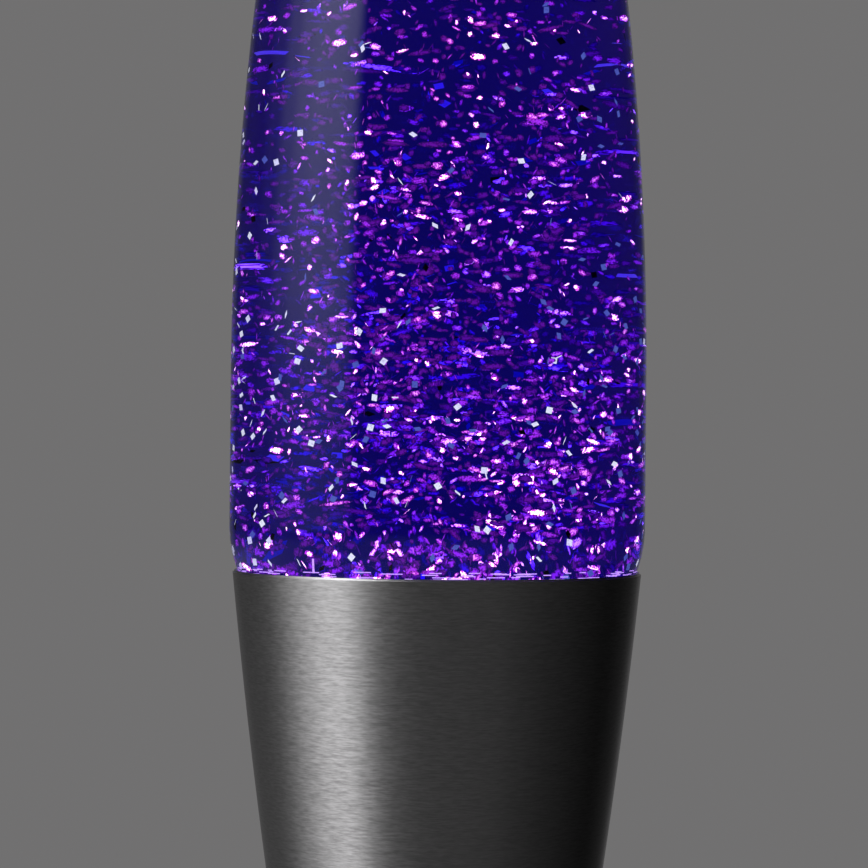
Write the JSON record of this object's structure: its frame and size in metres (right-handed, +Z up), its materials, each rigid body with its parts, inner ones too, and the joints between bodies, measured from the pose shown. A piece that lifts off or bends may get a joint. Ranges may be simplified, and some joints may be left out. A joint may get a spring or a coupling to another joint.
{
  "type": "glitter lamp",
  "caption": "Glitter lamp: a sealed glass bottle of dyed liquid and glitter that stands in a spun metal hourglass base over a reflector bulb, with a metal cap on top.",
  "frame": {"origin": "on the table under the centre of the foot", "axes": "+Z up along the lamp's axis; the viewer's side, its front, faces -Y; the cord inlet is at the back, +Y; +X is to the viewer's right"},
  "size_m": [0.1096, 0.1095, 0.406],
  "materials": {
    "base_metal": "satin",
    "cap_metal": "satin",
    "seal_rubber": "matte",
    "zinc_steel": "satin",
    "screw_steel": "satin",
    "holder_plastic": "satin",
    "core_ceramic": "satin",
    "contact_brass": "satin",
    "wire_brown": "satin",
    "wire_blue": "satin",
    "block_plastic": "satin",
    "plate_plastic": "matte",
    "pad_rubber": "matte",
    "bulb_glass": "gloss",
    "stem_glass": "gloss",
    "filament_wire": "satin",
    "shell_metal": "satin",
    "insulator_glass": "gloss",
    "solder": "satin",
    "bottle_glass": "gloss",
    "dyed_liquid": "gloss",
    "glitter_film": "gloss",
    "crown_metal": "satin",
    "liner_plastic": "satin",
    "ring_plastic": "satin"
  },
  "bodies": {
    "base": {"base_cup": "base_metal", "base_foot": "base_metal", "bottle_seat_ring": "seal_rubber", "holder_bracket": "zinc_steel", "waist_screws": "screw_steel", "waist_nuts": "screw_steel", "threaded_nipple": "zinc_steel", "nipple_nut": "screw_steel", "nipple_lock_washer": "screw_steel", "holder_base": "holder_plastic", "holder_shell": "holder_plastic", "holder_core": "core_ceramic", "holder_screw_sleeve": "contact_brass", "holder_centre_contact": "contact_brass", "contact_rivet": "screw_steel", "wire_live": "wire_brown", "wire_neutral": "wire_blue", "terminal_block": "block_plastic", "terminal_sleeves": "contact_brass", "terminal_screws": "screw_steel", "block_screw": "screw_steel", "base_plate": "plate_plastic", "plate_screws": "screw_steel", "rubber_pads": "pad_rubber", "cord_inlet_bush": "pad_rubber"},
    "bulb_tip": {"bulb_insulator": "insulator_glass", "bulb_contact": "solder"},
    "bulb": {"bulb_glass": "bulb_glass", "bulb_stem": "stem_glass", "bulb_filament": "filament_wire", "bulb_screw_shell": "shell_metal"},
    "bottle": {"glass_bottle": "bottle_glass", "liquid": "dyed_liquid", "glitter": "glitter_film", "crown_closure": "crown_metal", "closure_liner": "liner_plastic"},
    "cap": {"top_cap": "cap_metal", "cap_ring": "ring_plastic"}
  },
  "joints": [
    {"name": "bottle_lift", "type": "slide", "parent": "base", "child": "bottle", "axis": [0, 0, 1], "range_m": [0, 0.06]},
    {"name": "cap_lift", "type": "slide", "parent": "bottle", "child": "cap", "axis": [0, 0, 1], "range_m": [0, 0.06]},
    {"name": "bulb_rise", "type": "slide", "parent": "base", "child": "bulb_tip", "axis": [0, 0, 1], "range_m": [0, 0.0142]},
    {"name": "bulb_turn", "type": "hinge", "parent": "bulb_tip", "child": "bulb", "pos_m": [0, 0, 0.05], "axis": [0, 0, 1], "range_deg": [0, 1800]}
  ],
  "couplings": [
    {"joint": "bulb_rise", "follows": "bulb_turn", "m_per_rad": 0.00044882}
  ]
}
